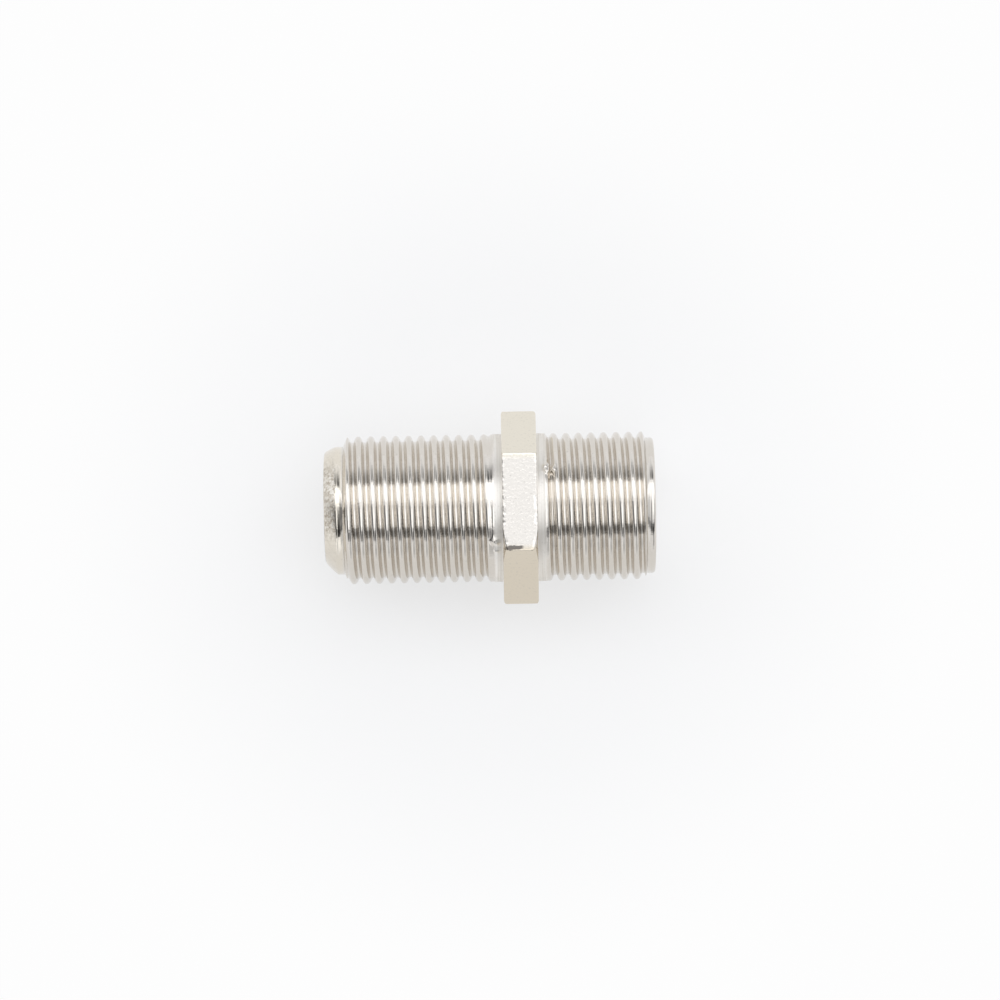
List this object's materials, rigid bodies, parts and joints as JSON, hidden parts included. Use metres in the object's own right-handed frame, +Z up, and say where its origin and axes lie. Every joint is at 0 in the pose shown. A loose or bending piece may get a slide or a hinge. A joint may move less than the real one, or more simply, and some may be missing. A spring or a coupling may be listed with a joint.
{
  "type": "f-type coaxial splice connector",
  "caption": "Double-ended F connector: nickel-plated barrel threaded at both ends, hexagon flange between, plastic insulators and a spring contact inside.",
  "frame": {"origin": "on the barrel's axis, halfway between its two ends", "axes": "+X along the barrel's axis towards the short end; +Z up, normal to a flat of the hexagon; the barrel lies on the opposite flat"},
  "size_m": [0.0208, 0.0122, 0.0106],
  "materials": {
    "nickel_plate": "bright nickel plate on turned brass, lightly worn",
    "insulator_plastic": "natural white moulded plastic",
    "spring_bronze": "turned and slotted spring bronze"
  },
  "bodies": {
    "root": {"shell": "nickel_plate", "insulator_left": "insulator_plastic", "insulator_right": "insulator_plastic", "centre_contact": "spring_bronze"}
  },
  "joints": []
}
